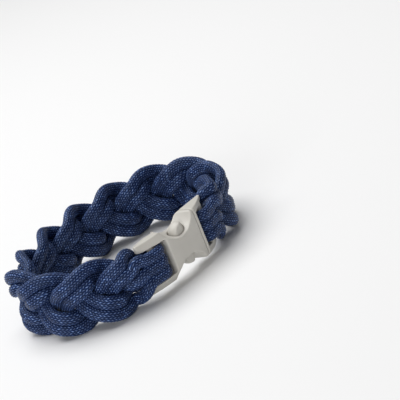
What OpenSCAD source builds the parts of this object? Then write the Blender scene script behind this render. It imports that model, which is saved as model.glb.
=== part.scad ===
// Macrame bracelet: three strands of doubled cord plaited flat, looped round
// the two bars of a curved side-release buckle, and closed into an oval.
// +X runs along the oval, +Z is across the band, and z = 0 is the surface
// that the lower scalloped edge rests on. The buckle is in the middle of the
// front long side, socket towards -X and plug towards +X.

/* [Loop] */
// Half the length of the oval, to the middle of the band
loop_a = 42.6; // [42.4:0.2:48]
// Half the depth of the oval, to the middle of the band
loop_b = 29.2; // [29:0.2:34]
// Squareness of the oval, where 2 is a true ellipse
loop_p = 2.15; // [2.1:0.05:2.4]

/* [Cord] */
// Width of the flattened cord where it goes round a bar
cord_w = 3.8; // [3.6:0.1:4]
// Width of the flattened cord in the open plait
plait_cord_w = 4.2; // [4:0.05:4.2]
// Thickness of the flattened cord
cord_t = 2.75; // [2.5:0.05:2.75]
// Gap left between cords that lie side by side
cord_gap = 0.08; // [0.05:0.01:0.1]

/* [Plait] */
// Length of the plait, in thirds of a full turn
plait_thirds = 11; // [10:1:11]
// Place in the turn that the strands have at the bars, in degrees
plait_start = 60; // [60:60:60]
// Swing of a strand to each side of the middle line
plait_swing = 7.8; // [7.6:0.05:7.85]
// Rise and fall of a strand through the thickness
plait_rise = 3.55; // [3.55:0.05:3.75]
// Tilt of a pair where it crosses the middle, in degrees
plait_bank = -1; // [-1:1:1]
// Share of the third wave in the swing
plait_v3 = 0.01; // [0:0.01:0.01]
// Share of the fifth wave in the swing
plait_v5 = 0.04; // [0.03:0.01:0.05]
// Share of the fourth wave in the rise
plait_n4 = -0.04; // [-0.04:0.01:-0.03]
// Length from the tip of an arm to where the strands begin to cross
plait_lead = 2.7; // [2.5:0.1:2.9]
// Length over which the crossing gathers pace
plait_ease = 3; // [2.8:0.1:3.2]
// Length over which the pairs turn from stacked to side by side
plait_turn_in = 7; // [6.8:0.1:7.2]

/* [Buckle] */
// Width of the buckle, across the band
buckle_w = 18.6; // [18:0.2:20]
// Thickness of the buckle
buckle_t = 7.4; // [7:0.1:8]
// Plan radius that the buckle is curved to, at its middle
buckle_r = 62; // [55:1:80]
// Height of the two slots between the arms, at their narrow end
slot_w = 12.6; // [12.4:0.1:13.2]
// Diameter of the bars that the cords go round
bar_d = 3; // [2.6:0.1:3.2]
// Distance of the socket bar from the middle of the buckle
socket_bar = 13.4; // [13.3:0.1:14]
// Distance of the plug bar from the middle of the buckle
plug_bar = 13.9; // [13.7:0.1:14.5]
// Length of the socket's arms past its bar
socket_past = 6; // [5.6:0.1:6.2]
// Length of the plug's arms past its bar
plug_past = 4; // [3.6:0.1:4.6]
// Distance from the middle curve to the face of an arm, at its root
arm_face = 3.15; // [3:0.05:3.4]
// Distance from the middle line to the floor of the dish round a pad
dish_z = 5; // [4.8:0.1:5.4]
// Distance from the middle line to the top of a pad
pad_z = 8.1; // [7.6:0.1:8.4]

/* [Hidden] */
cord_color = "#2b3766";
buckle_color = "#b9b4ab";
cord_sides = 10;
// rings along one run and round one bar
run_rings = 76;
bend_rings = 6;
gap = 0.12;
spread_lead = 1.8;
pair_pitch = plait_cord_w + cord_gap;

// Oval centreline, measured by arc length from the front middle
function sgn(x) = x < 0 ? -1 : 1;
function super(c, r) = r*sgn(c)*pow(abs(c), 2/loop_p);
tab_n = 360;
tab = [for (i = [0:tab_n]) [super(cos(i - 90), loop_a), super(sin(i - 90), loop_b)]];
cum = [for (i = 0, s = 0; i <= tab_n;
    s = s + (i < tab_n ? norm(tab[i + 1] - tab[i]) : 0), i = i + 1) s];
loop_len = cum[tab_n];
xs = [for (i = [0:tab_n]) [cum[i], tab[i][0]]];
ys = [for (i = [0:tab_n]) [cum[i], tab[i][1]]];
function wrap(s) = s < 0 ? s + loop_len : s > loop_len ? s - loop_len : s;
function spot(s) = [lookup(wrap(s), xs), lookup(wrap(s), ys)];
function ahead(s) = let (d = spot(s + 1.5) - spot(s - 1.5)) d/norm(d);
function outward(s) = let (t = ahead(s)) [t[1], -t[0], 0];
// a point of the band: s along, v up, n outward
function place(s, v, n) = let (c = spot(s), o = outward(s))
    [c[0] + o[0]*n, c[1] + o[1]*n, v];

// Plait: phase, spread and pair turn along the run from the plug bar
run_len = loop_len - socket_bar - plug_bar;
bar_h = bar_d/2 + cord_t/2 + gap;
bar_pitch = cord_w + gap;
total_phase = plait_thirds*120;
function soft(x, w) = x < 0 ? 0 : x < 2*w ? x*x/(4*w) : x - w;
function clamp01(x) = max(0, min(1, x));
function smooth(x) = let (c = clamp01(x)) c*c*(3 - 2*c);
first_half = soft(run_len/2 - plug_past - plait_lead, plait_ease);
last_half = soft(run_len/2 - socket_past - plait_lead, plait_ease);
function phase(q) = plait_start + total_phase/(first_half + last_half)*(q < run_len/2
    ? soft(q - plug_past - plait_lead, plait_ease)
    : first_half + last_half - soft(run_len - q - socket_past - plait_lead, plait_ease));
// 0 between the arms of the buckle, 1 in the full plait
function inside(q) = q < run_len/2 ? smooth((q - plug_past)/plait_turn_in)
    : smooth((run_len - q - socket_past)/plait_turn_in);
// the strands spread a little before they turn
function spread(q) = q < run_len/2 ? smooth((q - plug_past + spread_lead)/(plait_turn_in - 1))
    : smooth((run_len - q - socket_past + spread_lead)/(plait_turn_in - 1));
function swing(q) = bar_pitch/sin(60) + (plait_swing - bar_pitch/sin(60))*spread(q);
function lane_v(k, q) = let (a = phase(q) + 120*k)
    swing(q)*(sin(a) + inside(q)*(plait_v3*sin(3*a) + plait_v5*sin(5*a)))
        /(1 - inside(q)*(plait_v3 - plait_v5));
function lane_n(k, q) = let (a = phase(q) + 120*k)
    plait_rise*inside(q)*(sin(2*a) + plait_n4*sin(4*a));
function bank(k, q) = -plait_bank*inside(q)*cos(phase(q) + 120*k);
function run_point(k, side, q) = let (
    e = inside(q),
    slope = atan((lane_v(k, q + 0.5) - lane_v(k, q - 0.5))/1),
    turn = -90*(1 - e) + bank(k, q),
    h = bar_h + (pair_pitch/2 - bar_h)*e)
    place(plug_bar + q - side*h*cos(turn)*sin(slope),
        lane_v(k, q) + side*h*cos(turn)*cos(slope),
        lane_n(k, q) + side*h*sin(turn));
// round a bar on the side of the buckle's body
function bend_point(k, end, a) = let (q = end > 0 ? run_len : 0)
    place(plug_bar + q + end*bar_h*cos(a), lane_v(k, q), bar_h*sin(a));

// One strand as a closed line: out on the front, round the socket bar, back
// behind it, and round the plug bar
function strand_line(k) = concat(
    [for (i = [0:run_rings]) run_point(k, -1, run_len*i/run_rings)],
    [for (i = [1:bend_rings - 1]) bend_point(k, 1, 90 - 180*i/bend_rings)],
    [for (i = [0:run_rings]) run_point(k, 1, run_len*(1 - i/run_rings))],
    [for (i = [1:bend_rings - 1]) bend_point(k, -1, -90 + 180*i/bend_rings)]);
function unit(v) = v/norm(v);
// width direction of each ring: across the run in the band, up at a bend
function across(p, t, i) = let (
    n = 2*run_rings + 2*bend_rings,
    bend = (i > run_rings && i < run_rings + bend_rings)
        || i > 2*run_rings + bend_rings,
    far = i >= run_rings + bend_rings ? -1 : 1,
    o = unit([p[0]*pow(abs(p[0])/loop_a, loop_p - 2)/pow(loop_a, 2),
        p[1]*pow(abs(p[1])/loop_b, loop_p - 2)/pow(loop_b, 2), 0]))
    bend ? [0, 0, 1] : unit(cross(o, t)*far);
// share of the open plait's cord width that a ring has
function ring_open(i) = i <= run_rings ? inside(run_len*i/run_rings)
    : i >= run_rings + bend_rings && i <= 2*run_rings + bend_rings
    ? inside(run_len*(2*run_rings + bend_rings - i)/run_rings) : 0;
function ring_bank(k, i) = i <= run_rings ? bank(k, run_len*i/run_rings)
    : i >= run_rings + bend_rings && i <= 2*run_rings + bend_rings
    ? -bank(k, run_len*(2*run_rings + bend_rings - i)/run_rings) : 0;
function strand_rings(k) = let (line = strand_line(k), n = len(line))
    [for (i = [0:n - 1]) let (
        p = line[i],
        t = unit(line[(i + 1) % n] - line[(i + n - 1) % n]),
        w0 = across(p, t, i),
        w1 = unit(w0 - (w0*t)*t),
        u1 = cross(t, w1),
        b = ring_bank(k, i),
        w = w1*cos(b) + u1*sin(b),
        u = cross(t, w),
        cw = cord_w + (plait_cord_w - cord_w)*ring_open(i))
        [for (j = [0:cord_sides - 1]) let (a = 360*(j + 0.5)/cord_sides)
            p + w*cos(a)*cw/2 + u*sin(a)*cord_t/2]];
function flat(rings) = [for (r = rings) for (p = r) p];
strand_points = [for (k = [0:2]) flat(strand_rings(k))];
floor_z = min([for (s = strand_points) for (p = s) p[2]]);
mid_x = (min([for (s = strand_points) for (p = s) p[0]])
    + max([for (s = strand_points) for (p = s) p[0]]))/2;
face_y = -loop_b - buckle_t/2;
mid_y = (face_y + max([for (s = strand_points) for (p = s) p[1]]))/2;
shift = [-mid_x, -mid_y, -floor_z];

module strand(k) {
    n = len(strand_points[k])/cord_sides;
    color(cord_color)
    translate(shift)
    polyhedron(points = strand_points[k], faces = [
        for (i = [0:n - 1]) for (j = [0:cord_sides - 1]) each let (
            a = i*cord_sides + j,
            b = i*cord_sides + (j + 1) % cord_sides,
            c = ((i + 1) % n)*cord_sides + (j + 1) % cord_sides,
            d = ((i + 1) % n)*cord_sides + j)
            [[a, c, b], [a, d, c]]], convexity = 10);
}
module strand_a() { strand(0); }
module strand_b() { strand(1); }
module strand_c() { strand(2); }

// Buckle frame: the axis of its curve stands behind the front middle
seam = 7.2;
body_left = -8.6;
flange = 1.5;
wall = 1.4;
fit = 0.2;
window_l = 6.8;
window_t = 4.7;
edge_r = 1.6;
hollow_h = 7.2;
prong_t = buckle_t - 2*wall - 2*fit;
module at_buckle() {
    translate(shift) translate([0, buckle_r - loop_b, 0]) children();
}
module round_box(t, h, r) {
    union() {
        translate([r, 0]) square([t - 2*r, h]);
        translate([0, r]) square([t, h - 2*r]);
        for (x = [r, t - r]) for (y = [r, h - r])
            translate([x, y]) circle(r = r, $fn = 32);
    }
}
// length of the curved buckle between two places along X
module curved(x0, x1, t, h, r) {
    intersection() {
        rotate_extrude($fn = 180)
        translate([buckle_r - t/2, -h/2])
            round_box(t, h, r);
        translate([x0, -buckle_r - t, -h])
            cube([x1 - x0, 2*t + buckle_r/2, 2*h]);
    }
}
function mid_y_at(x) = -sqrt(buckle_r*buckle_r - x*x);
// plan of an arm, over the middle curve: the socket's arms taper towards their
// faces, the plug's arms are fins that taper from both sides
function wing_front(u) = arm_face - 1.1*pow(u, 8);
function wing_back(u) = -1.5 - 0.5*sin(180*min(1, 1.3*u)) + 2.2*pow(u, 5);
function fin_front(u) = arm_face - 0.05 - 2.9*pow(u, 1.5);
function fin_back(u) = 0.05 - arm_face + 2.3*u;
function arm_plan(root, tip) = let (n = 20) concat(
    [for (i = [0:n]) let (u = i/n, x = root + (tip - root)*u)
        [x, mid_y_at(x) - (tip < root ? wing_front(u) : fin_front(u))]],
    [for (i = [n:-1:0]) let (u = i/n, x = root + (tip - root)*u)
        [x, mid_y_at(x) - (tip < root ? wing_back(u) : fin_back(u))]]);
// the space between two arms, h0 high at x0 and h1 at x1
module slot(x0, x1, h0, h1) {
    translate([0, 20 - buckle_r, 0]) rotate([90, 0, 0])
    linear_extrude(height = 40)
        polygon([[x0, -h0/2], [x1, -h1/2], [x1, h1/2], [x0, h0/2]]);
}
// slope over the socket's arms, from the dishes to the tips
module slope(side) {
    mirror([0, 0, side < 0 ? 1 : 0])
    intersection() {
        rotate_extrude($fn = 180)
            polygon([[buckle_r + 3.8, 5.4], [buckle_r + 7, 5.4], [buckle_r + 7, 11.8], [buckle_r, 11.8]]);
        translate([-30, -buckle_r - 8, 0]) cube([25.6, 20, 12]);
    }
}
// the two arms of one half, cut apart by the slot
module arms(root, tip) {
    s = tip < root ? -1 : 1;
    difference() {
        intersection() {
            curved(min(root, tip) - 1, max(root, tip) + 1, 2*arm_face + 0.2, buckle_w, 1.2);
            translate([0, 0, -buckle_w]) linear_extrude(height = 2*buckle_w)
                polygon(arm_plan(root, tip));
        }
        slot(root - s, tip + s, slot_w, slot_w + (s > 0 ? 3.6 : 1));
    }
}
// dish in a narrow edge, lower towards the buckle's face
module waist(side) {
    r = 8.6;
    tilt = 19;
    mirror([0, 0, side < 0 ? 1 : 0])
    translate([-1.6, -buckle_r, dish_z + r/cos(tilt)])
    rotate([90 + tilt, 0, 0])
        cylinder(r = r, h = 26, center = true, $fn = 96);
}
// oval hole in a narrow edge, where a pad is pressed, leaning with the dish
module window(side, l, t, h) {
    mirror([0, 0, side < 0 ? 1 : 0])
    translate([0, -buckle_r, h])
    rotate([0, -13, 0])
    union() {
        for (x = [-1, 1]) translate([x*(l - t)/2, 0, 0]) cylinder(d = t, h = 8, $fn = 48);
        translate([-(l - t)/2, -t/2, 0]) cube([l - t, t, 8]);
    }
}
module bar(s) {
    c = spot(s);
    translate([c[0], c[1] + loop_b - buckle_r, -slot_w/2 - 2])
        cylinder(d = bar_d, h = slot_w + 4, $fn = 48);
}
module buckle_socket() {
    color(buckle_color)
    at_buckle()
    union() {
        difference() {
            union() {
                curved(body_left, seam, buckle_t, buckle_w, edge_r);
                arms(body_left + 1, -socket_bar - socket_past);
            }
            // hollow for the prongs and the guide
            curved(body_left + 2.2, seam + 1, buckle_t - 2*wall, hollow_h, 0.4);
            for (side = [-1, 1]) {
                waist(side);
                slope(side);
                window(side, window_l, window_t, hollow_h/2 - 1.4);
            }
        }
        bar(-socket_bar);
    }
}
module prong(side) {
    top = hollow_h/2 - fit;
    mirror([0, 0, side < 0 ? 1 : 0])
    union() {
        // springy leg
        intersection() {
            curved(-1.6, seam + flange/2, prong_t, 2*top, 0.4);
            translate([-2, -buckle_r - 4, 1.9]) cube([seam + 4, 8, top - 1.9]);
        }
        // pad that fills the window
        intersection() {
            window(1, window_l - 2*fit, window_t - 2*fit, top - 1.2);
            translate([0.6, -buckle_r, pad_z - 3.9]) sphere(r = 3.9, $fn = 64);
            translate([-5, -buckle_r - 5, 1.9]) cube([10, 10, 8]);
        }
    }
}
module buckle_plug() {
    color(buckle_color)
    at_buckle()
    union() {
        difference() {
            union() {
                curved(seam + fit, seam + flange, buckle_t, buckle_w, edge_r);
                arms(seam + flange - 1, plug_bar + plug_past);
            }
            for (side = [-1, 1]) waist(side);
        }
        bar(plug_bar);
        for (side = [-1, 1]) prong(side);
        // guide tongue between the prongs
        curved(-4.5, seam + flange/2, 2.2, 2.4, 0.4);
    }
}

buckle_socket();
buckle_plug();
strand_a();
strand_b();
strand_c();
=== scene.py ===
import math
import bmesh
import bpy
import numpy as np
from mathutils import Matrix, Vector


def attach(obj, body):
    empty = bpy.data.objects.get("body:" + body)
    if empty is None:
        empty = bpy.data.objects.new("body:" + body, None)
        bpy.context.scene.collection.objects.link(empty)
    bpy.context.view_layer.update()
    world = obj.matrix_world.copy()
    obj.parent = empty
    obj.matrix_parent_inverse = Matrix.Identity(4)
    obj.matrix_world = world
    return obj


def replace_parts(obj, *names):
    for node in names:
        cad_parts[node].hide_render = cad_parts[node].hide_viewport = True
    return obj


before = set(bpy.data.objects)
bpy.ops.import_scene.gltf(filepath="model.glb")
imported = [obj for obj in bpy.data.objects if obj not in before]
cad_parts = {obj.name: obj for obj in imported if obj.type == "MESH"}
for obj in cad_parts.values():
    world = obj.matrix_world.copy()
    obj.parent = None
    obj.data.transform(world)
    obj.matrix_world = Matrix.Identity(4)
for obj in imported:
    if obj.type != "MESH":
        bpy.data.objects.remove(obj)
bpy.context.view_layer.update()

scene = bpy.context.scene
mm = 0.001
ovalMiddle = (0.0496, -0.5998, 11.9389)  # mm, where the middle of the plait's oval lies in the frame
print("frame loaded")


# small helpers for objects and materials
def newObject(name, data):
    made = bpy.data.objects.new(name, data)
    scene.collection.objects.link(made)
    return made


def newMaterial(name):
    material = bpy.data.materials.new(name)
    material.use_nodes = True
    tree = material.node_tree
    return material, tree, tree.nodes["Principled BSDF"]


def node(tree, kind, inputs=None, **settings):
    made = tree.nodes.new("ShaderNode" + kind)
    for key, value in settings.items():
        setattr(made, key, value)
    for key, value in (inputs or {}).items():
        if isinstance(value, bpy.types.NodeSocket):
            tree.links.new(value, made.inputs[key])
        else:
            made.inputs[key].default_value = value
    return made


def ramp(tree, value, stops):
    made = node(tree, "ValToRGB", {"Fac": value})
    points = made.color_ramp.elements
    while len(points) < len(stops):
        points.new(0.5)
    for point, (place, colour) in zip(points, stops):
        point.position = place
        point.color = (*colour, 1)
    return made.outputs["Color"]


def multiplied(tree, first, second):
    return node(tree, "Mix", {0: 1.0, 6: first, 7: second}, data_type="RGBA", blend_type="MULTIPLY").outputs[2]


def addBump(tree, shader, height, look):
    bump = node(tree, "Bump", {"Strength": look["bumpStrength"], "Distance": look["bumpDistance"], "Height": height})
    tree.links.new(bump.outputs[0], shader.inputs["Normal"])


# the camera looks past the bracelet, which stands left of and below the middle of the picture
cameraSetup = {
    "turn": -38.7, "height": 20.2, "roll": -23.1,  # degrees
    "distance": 536.6, "lens": 133.9, "film": 36.0,  # mm
    "seenAt": (124.5, 242.7), "picture": 400,  # pixels
    "near": 0.01, "far": 20.0,  # m
}


def placeCamera():
    turn, height, roll = (math.radians(cameraSetup[k]) for k in ("turn", "height", "roll"))
    back = Vector((math.sin(turn)*math.cos(height), -math.cos(turn)*math.cos(height), math.sin(height)))
    flat = Vector((math.cos(turn), math.sin(turn), 0))
    rise = back.cross(flat)
    right = math.cos(roll)*flat + math.sin(roll)*rise
    up = math.cos(roll)*rise - math.sin(roll)*flat
    half = cameraSetup["picture"]/2
    focal = cameraSetup["lens"]/cameraSetup["film"]*cameraSetup["picture"]
    seenX, seenY = cameraSetup["seenAt"]
    toMiddle = Vector(((seenX - half)/focal, (half - seenY)/focal, -1))
    swivel = Vector((0, 0, -1)).rotation_difference(toMiddle.normalized()).to_matrix()
    axes = Matrix((right, up, back)).transposed() @ swivel.inverted()
    data = bpy.data.cameras.new("camera")
    data.lens = cameraSetup["lens"]
    data.clip_start = cameraSetup["near"]
    data.clip_end = cameraSetup["far"]
    camera = newObject("camera", data)
    eye = (Vector(ovalMiddle) + back*cameraSetup["distance"])*mm
    camera.matrix_world = Matrix.Translation(eye) @ axes.to_4x4()
    scene.camera = camera


placeCamera()
print("camera placed")

# floor and light, in metres and watts: a broad light above and behind, a weaker one low at the left
studio = {
    "floorSize": 6.0, "floor": (0.87, 0.87, 0.87), "floorRoughness": 0.7, "floorGloss": 0.2,
    "sky": 0.16,
    "key": 15.8, "keyPlace": (-0.02, 0.36, 1.08), "keySize": (1.2, 1.1),
    "fill": 5.3, "fillPlace": (-1.1, -0.5, 0.34), "fillSize": (0.6, 0.6),
}


def makeFloor():
    bm = bmesh.new()
    bmesh.ops.create_grid(bm, x_segments=4, y_segments=4, size=studio["floorSize"]/2)
    mesh = bpy.data.meshes.new("floor")
    bm.to_mesh(mesh)
    bm.free()
    floor = newObject("floor", mesh)
    material, _, shader = newMaterial("paleFloor")
    shader.inputs["Base Color"].default_value = (*studio["floor"], 1)
    shader.inputs["Roughness"].default_value = studio["floorRoughness"]
    shader.inputs["Specular IOR Level"].default_value = studio["floorGloss"]
    mesh.materials.append(material)


def makeSky():
    world = bpy.data.worlds.new("studioSky")
    world.use_nodes = True
    background = world.node_tree.nodes["Background"]
    background.inputs["Color"].default_value = (1, 1, 1, 1)
    background.inputs["Strength"].default_value = studio["sky"]
    scene.world = world
    scene.view_settings.view_transform = "Standard"


def makeLight(name):
    data = bpy.data.lights.new(name + "Light", "AREA")
    data.shape = "RECTANGLE"
    data.size, data.size_y = studio[name + "Size"]
    data.energy = studio[name]
    at = Vector(studio[name + "Place"])
    light = newObject(name + "Light", data)
    light.matrix_world = Matrix.Translation(at) @ at.to_track_quat("Z", "Y").to_matrix().to_4x4()


makeFloor()
makeSky()
makeLight("key")
makeLight("fill")
print("floor and lights made")

# the plait: three strands of doubled cord between two bars. Lengths in mm, s runs round the oval from
# the middle of its front, q through the plait from the plug's bar to the socket's
plait = {
    "ovalLength": 42.6, "ovalDepth": 29.2, "squareness": 2.15, "chord": 1.5,
    "plugBar": 13.9, "socketBar": 13.4,  # the bars, from the middle of the front
    "barHeight": 2.995, "barPitch": 3.92,  # cord above the middle of a bar, and strand from strand there
    "plugPast": 4.0, "socketPast": 6.0,  # straight stretch past each bar
    "turnIn": 7.0,  # over which pairs turn from stacked to side by side
    "spreadOver": 6.0, "spreadLead": 1.8,  # over which the swing opens, and how much sooner
    "thirds": 11, "start": 60.0, "lead": 2.7, "ease": 3.0,  # thirds of a turn between the bars
    "pitch": 4.28,  # between the two cords of a strand
    "swing": 7.8, "thirdWave": 0.01, "fifthWave": 0.04,
    "rise": 3.55, "fourthWave": -0.04, "bank": -1.0,
    "innerPull": 0.7, "outerPull": 0.25, "pullPower": 3,
    "runSteps": 1600, "bendSteps": 40,
}
third = math.radians(120)


def unit(v):
    return v/np.linalg.norm(v, axis=-1, keepdims=True)


def signedPower(x, power):
    return np.sign(x)*np.abs(x)**power


ovalAngle = np.radians(np.arange(361) - 90.0)
ovalX = plait["ovalLength"]*signedPower(np.cos(ovalAngle), 2/plait["squareness"])
ovalY = plait["ovalDepth"]*signedPower(np.sin(ovalAngle), 2/plait["squareness"])
ovalAlong = np.concatenate([[0], np.cumsum(np.hypot(np.diff(ovalX), np.diff(ovalY)))])
ovalRound = ovalAlong[-1]
runLength = ovalRound - plait["socketBar"] - plait["plugBar"]


def spot(s):
    s = np.mod(s, ovalRound)
    return np.stack([np.interp(s, ovalAlong, ovalX), np.interp(s, ovalAlong, ovalY)], -1)


def bandPoint(s, across, out):
    ahead = unit(spot(s + plait["chord"]) - spot(s - plait["chord"]))
    middle = spot(s)
    return np.stack([middle[:, 0] + ahead[:, 1]*out, middle[:, 1] - ahead[:, 0]*out, across], -1)


def soft(x, width):
    return np.where(x < 0, 0, np.where(x < 2*width, x*x/(4*width), x - width))


def smooth(x):
    c = np.clip(x, 0, 1)
    return c*c*(3 - 2*c)


def fromEnds(q, shape):
    return np.where(q < runLength/2, shape(q - plait["plugPast"]), shape(runLength - q - plait["socketPast"]))


def phase(k, q):
    plugLead, socketLead = (plait[end] + plait["lead"] for end in ("plugPast", "socketPast"))
    firstHalf = soft(runLength/2 - plugLead, plait["ease"])
    lastHalf = soft(runLength/2 - socketLead, plait["ease"])
    turned = np.where(q < runLength/2, soft(q - plugLead, plait["ease"]),
                      firstHalf + lastHalf - soft(runLength - q - socketLead, plait["ease"]))
    return math.radians(plait["start"]) + third*(plait["thirds"]/(firstHalf + lastHalf)*turned + k)


# where the middle of strand k runs: across the band, and in or out of it
def laneOf(k, q):
    inside = fromEnds(q, lambda x: smooth(x/plait["turnIn"]))
    spread = fromEnds(q, lambda x: smooth((x + plait["spreadLead"])/plait["spreadOver"]))
    a = phase(k, q)
    narrow = plait["barPitch"]/math.sin(math.radians(plait["start"]))
    swing = narrow + (plait["swing"] - narrow)*spread
    across = swing*(np.sin(a) + inside*(plait["thirdWave"]*np.sin(3*a) + plait["fifthWave"]*np.sin(5*a)))
    across = across/(1 - inside*(plait["thirdWave"] - plait["fifthWave"]))
    rise = plait["rise"]*inside*(np.sin(2*a) + plait["fourthWave"]*np.sin(4*a))
    bank = np.radians(-plait["bank"]*inside*np.cos(a))
    return inside, across, rise, bank


# one cord of the pair, side -1 or 1: stacked at the bars, side by side in the plait
def runPoint(k, side, q):
    inside, across, rise, bank = laneOf(k, q)
    slope = np.arctan(laneOf(k, q + 0.5)[1] - laneOf(k, q - 0.5)[1])
    turn = bank - np.radians(90)*(1 - inside)
    h = plait["barHeight"] + (plait["pitch"]/2 - plait["barHeight"])*inside
    # where a strand turns, both its cords are pulled towards the middle, which closes the plait's eyes
    pull = np.sqrt(inside)*(-side*np.sin(phase(k, q)))**plait["pullPower"]
    h = h + np.where(pull > 0, plait["innerPull"], plait["outerPull"])*pull
    return bandPoint(plait["plugBar"] + q - side*h*np.cos(turn)*np.sin(slope),
                     across + side*h*np.cos(turn)*np.cos(slope), rise + side*h*np.sin(turn))


# round a bar, at the plug's end -1 or the socket's end 1
def bendPoint(k, end, a):
    q = np.full_like(a, runLength if end > 0 else 0.0)
    return bandPoint(plait["plugBar"] + q + end*plait["barHeight"]*np.cos(a), laneOf(k, q)[1],
                     plait["barHeight"]*np.sin(a))


# the cord, in mm: pressed flat, thinner at the bars, with braided stitches in its surface
cord = {
    "width": 4.7, "thickness": 3.6, "roundness": 0.92,
    "widthAtBars": 4.3, "thicknessAtBars": 2.7, "thinPast": 1.5, "thickenOver": 5.0,
    "columns": 16, "stitch": 1.12, "slant": 0.9, "stagger": 0.25,
    "relief": 0.26, "reliefMiddle": 0.6, "groovePower": 0.7, "valley": 0.25,
    "perColumn": 3, "perStitch": 4,  # faces
    "swells": ((0.012, 37, 1), (0.01, 61, 2)),  # share, waves round the loop, shift from strand to strand
    "floorGive": 0.02, "seam": 1e-7,
}


def roundTheLoop(run, bend, back):
    return np.concatenate([run, bend, back[::-1], bend])


def strandFrames(k):
    q = np.linspace(0, runLength, plait["runSteps"])
    a = np.radians(np.linspace(90, -90, plait["bendSteps"] + 2)[1:-1])
    line = np.concatenate([runPoint(k, -1, q), bendPoint(k, 1, a),
                           runPoint(k, 1, q[::-1]), bendPoint(k, -1, -a)])
    kind = roundTheLoop(np.ones(len(q)), 0*a, -np.ones(len(q)))
    inside, _, _, bank = laneOf(k, q)
    free = smooth((np.minimum(q, runLength - q) - cord["thinPast"])/cord["thickenOver"])
    extras = np.stack([roundTheLoop(bank, 0*a, -bank), roundTheLoop(inside, 0*a, inside),
                       roundTheLoop(free, 0*a, free)], -1)
    ahead = unit(np.roll(line, -1, 0) - np.roll(line, 1, 0))
    power = plait["squareness"] - 2
    x, y = line[:, 0], line[:, 1]
    normal = unit(np.stack([x*np.abs(x/plait["ovalLength"])**power/plait["ovalLength"]**2,
                            y*np.abs(y/plait["ovalDepth"])**power/plait["ovalDepth"]**2, 0*x], -1))
    wide = np.where(kind[:, None] == 0, [0.0, 0.0, 1.0], np.cross(normal, ahead)*kind[:, None])
    step = np.linalg.norm(np.diff(line, axis=0, append=line[:1]), axis=1)
    along = np.concatenate([[0], np.cumsum(step)])
    rings = int(round(along[-1]/cord["stitch"]))*cord["perStitch"]
    at = np.arange(rings)*along[-1]/rings

    def resample(values):
        closed = np.concatenate([values, values[:1]])
        return np.stack([np.interp(at, along, closed[:, i]) for i in range(closed.shape[1])], -1)

    line, wide, extras = resample(line), resample(wide), resample(extras)
    lean, inside, free = extras[:, :1], extras[:, 1:2], extras[:, 2:]
    ahead = unit(np.roll(line, -1, 0) - np.roll(line, 1, 0))
    wide = unit(wide - (wide*ahead).sum(1, keepdims=True)*ahead)
    deep = np.cross(ahead, wide)
    wide, deep = wide*np.cos(lean) + deep*np.sin(lean), deep*np.cos(lean) - wide*np.sin(lean)
    return line + np.array(ovalMiddle), wide, deep, inside, free, along[-1]


# u counts stitches along the cord, v columns of stitches round it
def stitchHeight(u, v):
    column = np.floor(v)
    x = v - column - 0.5
    lean = 1 - 2*np.mod(column, 2)
    y = u + cord["slant"]*x*lean + cord["stagger"]*lean
    wave = 0.5 + 0.5*np.cos(2*math.pi*y)
    return np.cos(math.pi*x)**cord["groovePower"]*(cord["valley"] + (1 - cord["valley"])*wave)


# evenly spaced points of the cord's outline, and the way out at each
def cordSection(around):
    fine = np.radians(np.arange(361))
    outline = np.stack([cord["width"]/2*signedPower(np.cos(fine), cord["roundness"]),
                        cord["thickness"]/2*signedPower(np.sin(fine), cord["roundness"])], -1)
    girth = np.concatenate([[0], np.cumsum(np.hypot(*np.diff(outline, axis=0).T))])
    at = np.arange(around)*girth[-1]/around
    px, py = (np.interp(at, girth, outline[:, i]) for i in (0, 1))
    nx, ny = px/cord["width"]**2, py/cord["thickness"]**2
    size = np.hypot(nx, ny)
    return px, py, nx/size, ny/size


def cordSurface(k):
    line, wide, deep, inside, free, length = strandFrames(k)
    rings, around = len(line), cord["columns"]*cord["perColumn"]
    px, py, nx, ny = cordSection(around)
    u = np.arange(rings)[:, None]/cord["perStitch"]
    v = np.arange(around)[None, :]/cord["perColumn"]
    lift = (stitchHeight(u, v) - cord["reliefMiddle"])*cord["relief"]
    turn = np.arange(rings)[:, None]*2*math.pi/rings
    swell = 1 + sum(share*np.sin(waves*turn + shift*k) for share, waves, shift in cord["swells"])
    narrow, thin = cord["widthAtBars"]/cord["width"], cord["thicknessAtBars"]/cord["thickness"]
    x = px*swell*(narrow + (1 - narrow)*inside) + nx*lift
    y = py/swell*(thin + (1 - thin)*free) + ny*lift
    points = line[:, None] + wide[:, None]*x[..., None] + deep[:, None]*y[..., None]
    # flattened where it lies on the floor
    points[..., 2] = 0.5*(points[..., 2] + np.sqrt(points[..., 2]**2 + cord["floorGive"]))
    return points*mm, length


def makeStrand(k, name, material):
    points, length = cordSurface(k)
    rings, around = points.shape[:2]
    bm = bmesh.new()
    uvLayer = bm.loops.layers.uv.new("UVMap")
    # a flat sheet of side 1 is wrapped round the path and joined at both seams
    bmesh.ops.create_grid(bm, x_segments=rings, y_segments=around, size=0.5, calc_uvs=True)
    for vert in bm.verts:
        i = int(round((vert.co.x + 0.5)*rings)) % rings
        j = int(round((vert.co.y + 0.5)*around)) % around
        vert.co = points[i, j]
    for face in bm.faces:
        face.smooth = True
        for loop in face.loops:
            uv = loop[uvLayer].uv
            uv.x *= rings//cord["perStitch"]
            uv.y *= cord["columns"]
    bmesh.ops.remove_doubles(bm, verts=[v for v in bm.verts if v.is_boundary], dist=cord["seam"])
    bmesh.ops.recalc_face_normals(bm, faces=bm.faces)
    mesh = bpy.data.meshes.new(name)
    bm.to_mesh(mesh)
    bm.free()
    mesh.materials.append(material)
    strand = newObject(name, mesh)
    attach(strand, "root")
    print(name, "length", round(length, 1), "mm,", len(mesh.polygons), "faces")
    return strand


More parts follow.
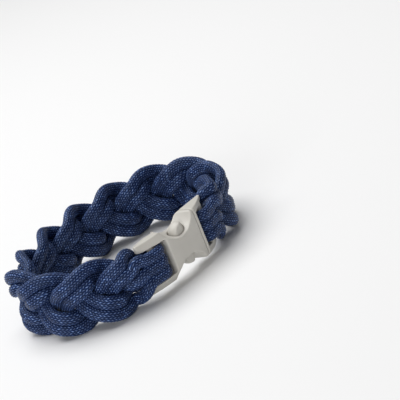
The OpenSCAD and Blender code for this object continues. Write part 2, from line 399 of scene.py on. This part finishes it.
# the braided sleeve's colour: navy thread, with painted shade between the stitches and a painted highlight on their
# crowns
weave = {
    "paintedShadeAndHighlight": [(0.0, (0.002, 0.004, 0.016)), (0.4, (0.0077, 0.0187, 0.075)),
                 (0.68, (0.0245, 0.051, 0.168)), (0.88, (0.078, 0.133, 0.305)), (1.0, (0.26, 0.325, 0.52))],
    "byChance": [(0.0, (0.60, 0.60, 0.62)), (0.7, (1.0, 1.0, 1.0)), (1.0, (2.0, 2.0, 1.8))],
    "roughness": 0.42, "gloss": 0.3, "glossTint": (0.55, 0.72, 1.0, 1),
    "sheen": 0.06, "sheenRoughness": 0.4, "sheenTint": (0.4, 0.6, 1.0, 1),
    "bumpStrength": 0.6, "bumpDistance": 0.00012,
}


def cordMaterial():
    material, tree, shader = newMaterial("navyBraidedCord")

    def sums(operation, *values):
        return node(tree, "Math", dict(enumerate(values)), operation=operation).outputs[0]

    def times(first, second):
        return sums("MULTIPLY", first, second)

    # the same stitches that stitchHeight gives the mesh
    parts = node(tree, "SeparateXYZ", {0: node(tree, "UVMap", uv_map="UVMap").outputs[0]})
    u, v = parts.outputs[0], parts.outputs[1]
    column = sums("FLOOR", v)
    x = sums("SUBTRACT", sums("SUBTRACT", v, column), 0.5)
    lean = sums("SUBTRACT", 1.0, times(2.0, sums("FLOORED_MODULO", column, 2.0)))
    y = sums("ADD", u, times(times(x, lean), cord["slant"]))
    y = sums("ADD", y, times(lean, cord["stagger"]))
    groove = sums("POWER", sums("COSINE", times(x, math.pi)), cord["groovePower"])
    wave = sums("ADD", times(sums("COSINE", times(y, 2*math.pi)), 0.5), 0.5)
    height = times(groove, sums("ADD", times(wave, 1 - cord["valley"]), cord["valley"]))
    # each stitch catches a little more or less light
    stitch = node(tree, "CombineXYZ", {0: sums("ROUND", y), 1: column}).outputs[0]
    chance = node(tree, "TexWhiteNoise", {"Vector": stitch}, noise_dimensions="2D").outputs["Value"]
    # painted shade in the grooves and painted highlight on the stitch crowns, taken from the stitch height
    colour = multiplied(tree, ramp(tree, height, weave["paintedShadeAndHighlight"]), ramp(tree, chance, weave["byChance"]))
    tree.links.new(colour, shader.inputs["Base Color"])
    shader.inputs["Roughness"].default_value = weave["roughness"]
    shader.inputs["Specular IOR Level"].default_value = weave["gloss"]
    shader.inputs["Specular Tint"].default_value = weave["glossTint"]
    shader.inputs["Sheen Weight"].default_value = weave["sheen"]
    shader.inputs["Sheen Roughness"].default_value = weave["sheenRoughness"]
    shader.inputs["Sheen Tint"].default_value = weave["sheenTint"]
    addBump(tree, shader, height, weave)
    return material


cordFinish = cordMaterial()
for strandIndex, strandName in enumerate(("strand_a", "strand_b", "strand_c")):
    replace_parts(makeStrand(strandIndex, strandName + "_woven", cordFinish), strandName)
print("strands made")

# the buckle: moulded plastic with softened edges. Skin in mm, noise scales per metre
buckle = {
    "weld": 1e-6, "skin": 0.22, "softFactor": 0.5, "softening": 7,
    "cloudScale": 90.0, "cloudDetail": 3.0, "grainScale": 4200.0, "grainDetail": 2.0,
    "greys": [(0.3, (0.53, 0.51, 0.467)), (0.7, (0.58, 0.56, 0.515))],
    # painted edge highlight and painted hollow shade, by pointiness
    "paintedEdgeLight": [(0.42, (0.72, 0.71, 0.69)), (0.5, (1.0, 1.0, 1.0)), (0.58, (1.12, 1.12, 1.12))],
    "roughness": 0.42, "bumpStrength": 0.25, "bumpDistance": 0.00002,
}


def buckleMaterial():
    material, tree, shader = newMaterial("warmGreyPlastic")
    where = node(tree, "TexCoord").outputs["Object"]

    def noise(name):
        size, detail = buckle[name + "Scale"], buckle[name + "Detail"]
        return node(tree, "TexNoise", {"Vector": where, "Scale": size, "Detail": detail}).outputs[0]

    # painted highlight on sharp edges and painted shade in hollows, following the mesh's pointiness
    paintedEdgeLight = ramp(tree, node(tree, "NewGeometry").outputs["Pointiness"], buckle["paintedEdgeLight"])
    colour = multiplied(tree, ramp(tree, noise("cloud"), buckle["greys"]), paintedEdgeLight)
    tree.links.new(colour, shader.inputs["Base Color"])
    shader.inputs["Roughness"].default_value = buckle["roughness"]
    addBump(tree, shader, noise("grain"), buckle)
    return material


def mouldHalf(nodeName, material):
    bm = bmesh.new()
    bm.from_mesh(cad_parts[nodeName].data)
    bmesh.ops.remove_doubles(bm, verts=bm.verts, dist=buckle["weld"])
    mesh = bpy.data.meshes.new(nodeName + "_moulded")
    bm.to_mesh(mesh)
    bm.free()
    mesh.materials.clear()
    mesh.materials.append(material)
    half = newObject(nodeName + "_moulded", mesh)
    skin = half.modifiers.new("evenSkin", "REMESH")
    skin.mode = "VOXEL"
    skin.voxel_size = buckle["skin"]*mm
    skin.use_smooth_shade = True
    soften = half.modifiers.new("softEdges", "SMOOTH")
    soften.factor = buckle["softFactor"]
    soften.iterations = buckle["softening"]
    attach(half, "root")
    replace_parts(half, nodeName)


buckleFinish = buckleMaterial()
for halfName in ("buckle_socket", "buckle_plug"):
    mouldHalf(halfName, buckleFinish)
print("buckle moulded")
